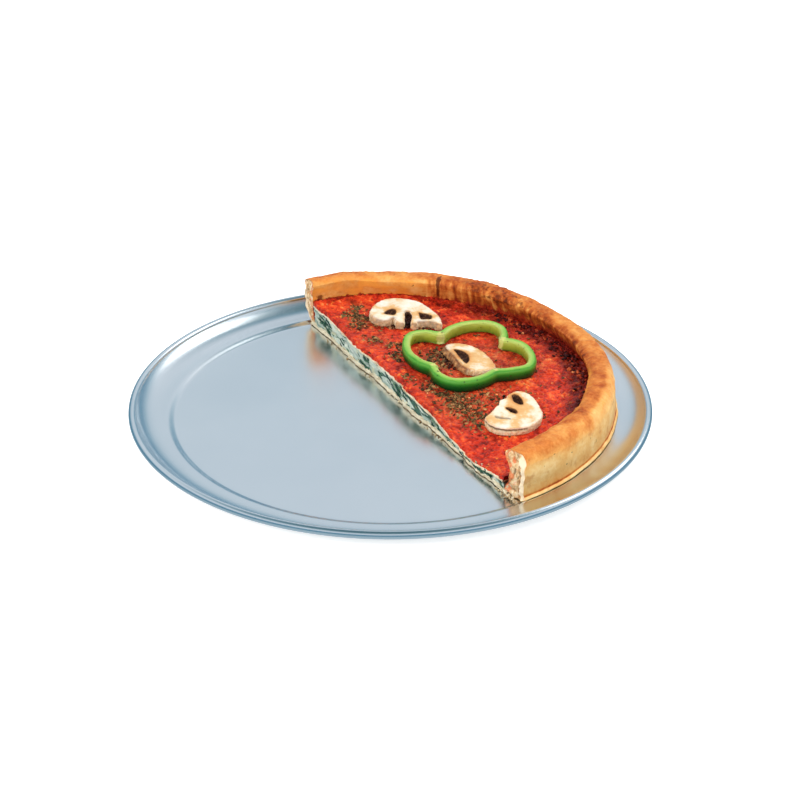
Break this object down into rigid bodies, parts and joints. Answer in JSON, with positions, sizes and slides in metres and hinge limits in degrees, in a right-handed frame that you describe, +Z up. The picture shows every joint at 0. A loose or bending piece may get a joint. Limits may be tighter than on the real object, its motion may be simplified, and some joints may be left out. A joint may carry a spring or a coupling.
{
  "type": "half pizza on tray",
  "caption": "Half of a deep filled pizza, cut side open, with a pepper ring and mushroom slices, on a round aluminium tray with a rolled rim.",
  "frame": {"origin": "middle of the tray's underside, on the surface it stands on", "axes": "+Z up, +X along the pizza's cut towards its right end, +Y from the cut towards the pizza's round side"},
  "size_m": [0.3558, 0.3558, 0.0387],
  "materials": {
    "tray": "satin, polished on the rolled rim",
    "crust": "baked dough, golden brown, pale at the cut",
    "filling": "moist pale cheese with dark green leaf shreds",
    "dough": "soft pale dough sheet",
    "sauce": "wet chunky tomato sauce with dried herb flakes",
    "pepper": "waxy green skin, pale green cut face",
    "mushroom": "dry cream flesh with brown gills"
  },
  "bodies": {
    "root": {"tray": "tray", "crust": "crust", "filling": "filling", "top_dough": "dough", "sauce": "sauce", "pepper_ring": "pepper", "mushroom_1": "mushroom", "mushroom_2": "mushroom", "mushroom_3": "mushroom"}
  },
  "joints": []
}
